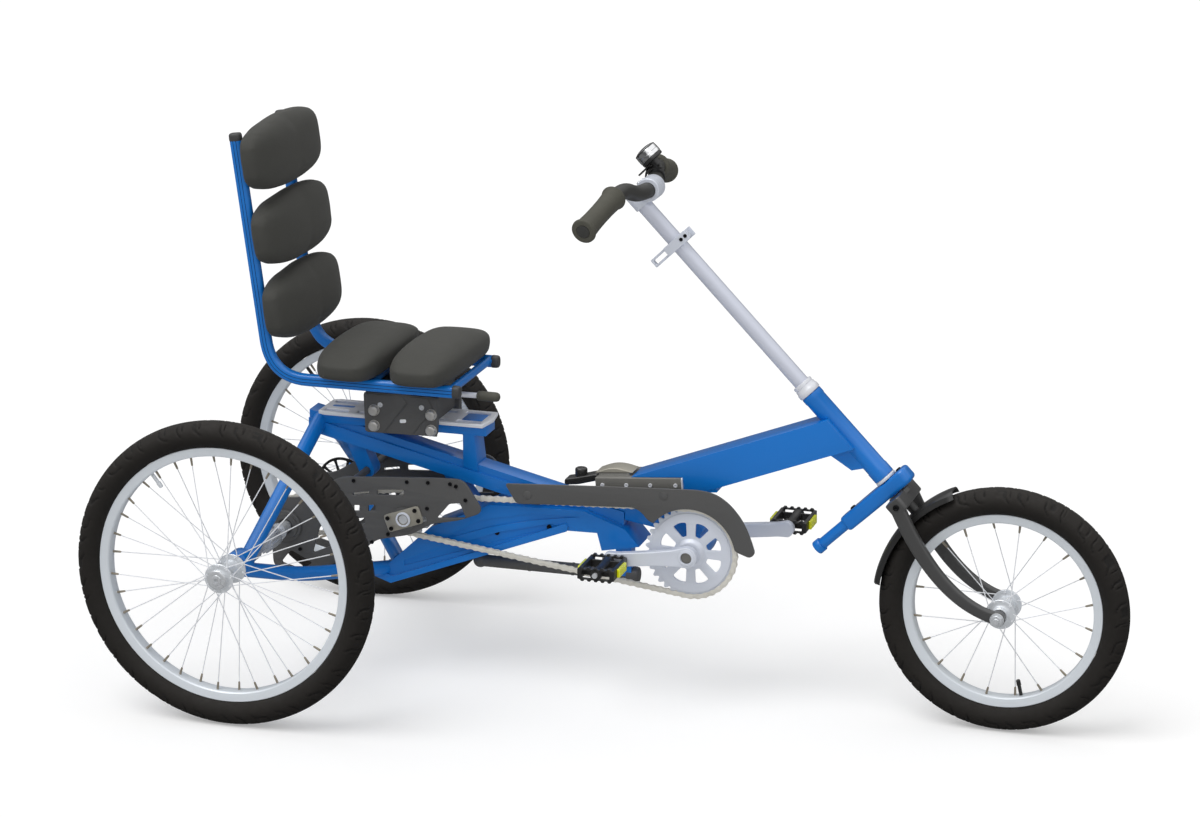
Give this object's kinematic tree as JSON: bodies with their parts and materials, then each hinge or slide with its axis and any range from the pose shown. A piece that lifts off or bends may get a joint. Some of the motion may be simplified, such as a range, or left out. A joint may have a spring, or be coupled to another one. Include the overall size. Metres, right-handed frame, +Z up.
{
  "type": "adaptive tricycle",
  "caption": "Low adaptive tricycle: padded seat and back on a sliding rail, pedals with a chain drive to the rear axle, and a steered front wheel on a sliding boom.",
  "frame": {"origin": "on the ground under the middle of the bounding box", "axes": "+X forward along the tricycle, +Y to the rider's left, +Z up"},
  "size_m": [1.6288, 0.742, 0.9232],
  "materials": {
    "frame_blue": "glossy blue paint",
    "dark_paint": "satin dark grey paint",
    "fork_paint": "glossy dark grey paint",
    "tyre": "moulded tread",
    "rim_alloy": "polished",
    "hub_alloy": "polished",
    "axle_steel": "plated",
    "crank_alloy": "polished",
    "column_chrome": "bright chrome plate",
    "bell_chrome": "bright chrome plate",
    "chain_steel": "oiled",
    "rail_alloy": "satin",
    "housing_alloy": "cast satin",
    "bar_paint": "satin black paint",
    "disc_black": "matt black",
    "pad_vinyl": "grained charcoal covering",
    "grip_rubber": "moulded grey rubber",
    "black_plastic": "moulded"
  },
  "bodies": {
    "frame": {"upper_spar": "frame_blue", "lower_beam": "frame_blue", "lower_brace": "dark_paint", "right_rear_stay": "frame_blue", "left_rear_stay": "frame_blue", "seat_rail": "rail_alloy", "rail_box": "frame_blue", "crank_bracket": "frame_blue", "boom_housing": "housing_alloy", "right_carrier_plate": "dark_paint", "left_carrier_plate": "dark_paint", "right_shaft_bearing": "housing_alloy", "left_shaft_bearing": "housing_alloy", "chain_guard": "dark_paint", "main_chain": "chain_steel", "rear_chain": "chain_steel"},
    "right_wheel": {"right_rear_tyre": "tyre", "right_rear_rim": "rim_alloy", "right_rear_hub": "hub_alloy", "drive_axle": "axle_steel", "brake_disc": "disc_black"},
    "left_wheel": {"left_rear_tyre": "tyre", "left_rear_rim": "rim_alloy", "left_rear_hub": "hub_alloy"},
    "shaft": {"intermediate_shaft": "axle_steel"},
    "crankset": {"right_crank": "crank_alloy", "left_crank": "crank_alloy", "crank_spindle": "axle_steel", "chainring": "crank_alloy"},
    "left_pedal_body": {"left_pedal": "black_plastic"},
    "right_pedal_body": {"right_pedal": "black_plastic"},
    "seat": {"seat_carriage": "dark_paint", "seat_frame": "frame_blue", "seat_pad_rear": "pad_vinyl", "seat_pad_front": "pad_vinyl", "back_pad_lower": "pad_vinyl", "back_pad_middle": "pad_vinyl", "back_pad_upper": "pad_vinyl"},
    "latch": {"latch_lever": "rail_alloy", "latch_grip": "grip_rubber"},
    "boom": {"front_beam": "frame_blue", "headset_upper": "rail_alloy", "headset_lower": "rail_alloy"},
    "boom_clamp": {"boom_lever": "black_plastic"},
    "steering": {"steering_column": "column_chrome", "clamp_bracket": "crank_alloy", "steering_arm": "frame_blue", "handlebar_stem": "crank_alloy", "handlebar": "bar_paint", "right_grip": "grip_rubber", "left_grip": "grip_rubber", "bell": "bell_chrome", "fork": "fork_paint", "front_axle": "axle_steel", "front_mudguard": "black_plastic"},
    "bell_striker": {"bell_lever": "black_plastic"},
    "front_wheel": {"front_tyre": "tyre", "front_rim": "rim_alloy", "front_hub": "hub_alloy"}
  },
  "joints": [
    {"name": "right_wheel_spin", "type": "hinge", "parent": "frame", "child": "right_wheel", "pos_m": [-0.5644, 0, 0.25], "axis": [0, 1, 0], "continuous": true},
    {"name": "left_wheel_spin", "type": "hinge", "parent": "frame", "child": "left_wheel", "pos_m": [-0.5644, 0, 0.25], "axis": [0, 1, 0], "continuous": true},
    {"name": "shaft_spin", "type": "hinge", "parent": "frame", "child": "shaft", "pos_m": [-0.3584, 0, 0.281], "axis": [0, 1, 0], "continuous": true},
    {"name": "crank_spin", "type": "hinge", "parent": "frame", "child": "crankset", "pos_m": [0.1176, 0, 0.26], "axis": [0, 1, 0], "continuous": true},
    {"name": "left_pedal_spin", "type": "hinge", "parent": "crankset", "child": "left_pedal_body", "pos_m": [0.24415, 0.118, 0.27554], "axis": [0, 1, 0], "continuous": true},
    {"name": "right_pedal_spin", "type": "hinge", "parent": "crankset", "child": "right_pedal_body", "pos_m": [-0.00895, -0.118, 0.24446], "axis": [0, 1, 0], "continuous": true},
    {"name": "seat_slide", "type": "slide", "parent": "frame", "child": "seat", "axis": [1, 0, 0], "range_m": [-0.07, 0.06]},
    {"name": "latch_lift", "type": "hinge", "parent": "seat", "child": "latch", "pos_m": [-0.3041, -0.024, 0.484], "axis": [0, -1, 0], "range_deg": [0, 20], "stiffness_Nm_per_rad": 1.2, "springref_deg": -11.46},
    {"name": "boom_slide", "type": "slide", "parent": "frame", "child": "boom", "axis": [0.9966, 0, 0.0819], "range_m": [0, 0.06]},
    {"name": "boom_clamp_turn", "type": "hinge", "parent": "frame", "child": "boom_clamp", "pos_m": [-0.0532, 0, 0.3596], "axis": [0, 1, 0], "range_deg": [0, 60]},
    {"name": "steering_turn", "type": "hinge", "parent": "boom", "child": "steering", "pos_m": [0.0166, 0, 0.819], "axis": [-0.693, 0, 0.7209], "range_deg": [-40, 40]},
    {"name": "bell_lever_turn", "type": "hinge", "parent": "steering", "child": "bell_striker", "pos_m": [0.0216, 0.06, 0.871], "axis": [-0.7071, 0, 0.7071], "range_deg": [0, 25], "stiffness_Nm_per_rad": 0.05, "springref_deg": -5.73},
    {"name": "front_wheel_spin", "type": "hinge", "parent": "steering", "child": "front_wheel", "pos_m": [0.6149, 0, 0.1995], "axis": [0, 1, 0], "continuous": true}
  ],
  "couplings": [
    {"joint": "shaft_spin", "follows": "right_wheel_spin", "ratio": 1},
    {"joint": "crank_spin", "follows": "right_wheel_spin", "ratio": 0.44444}
  ]
}
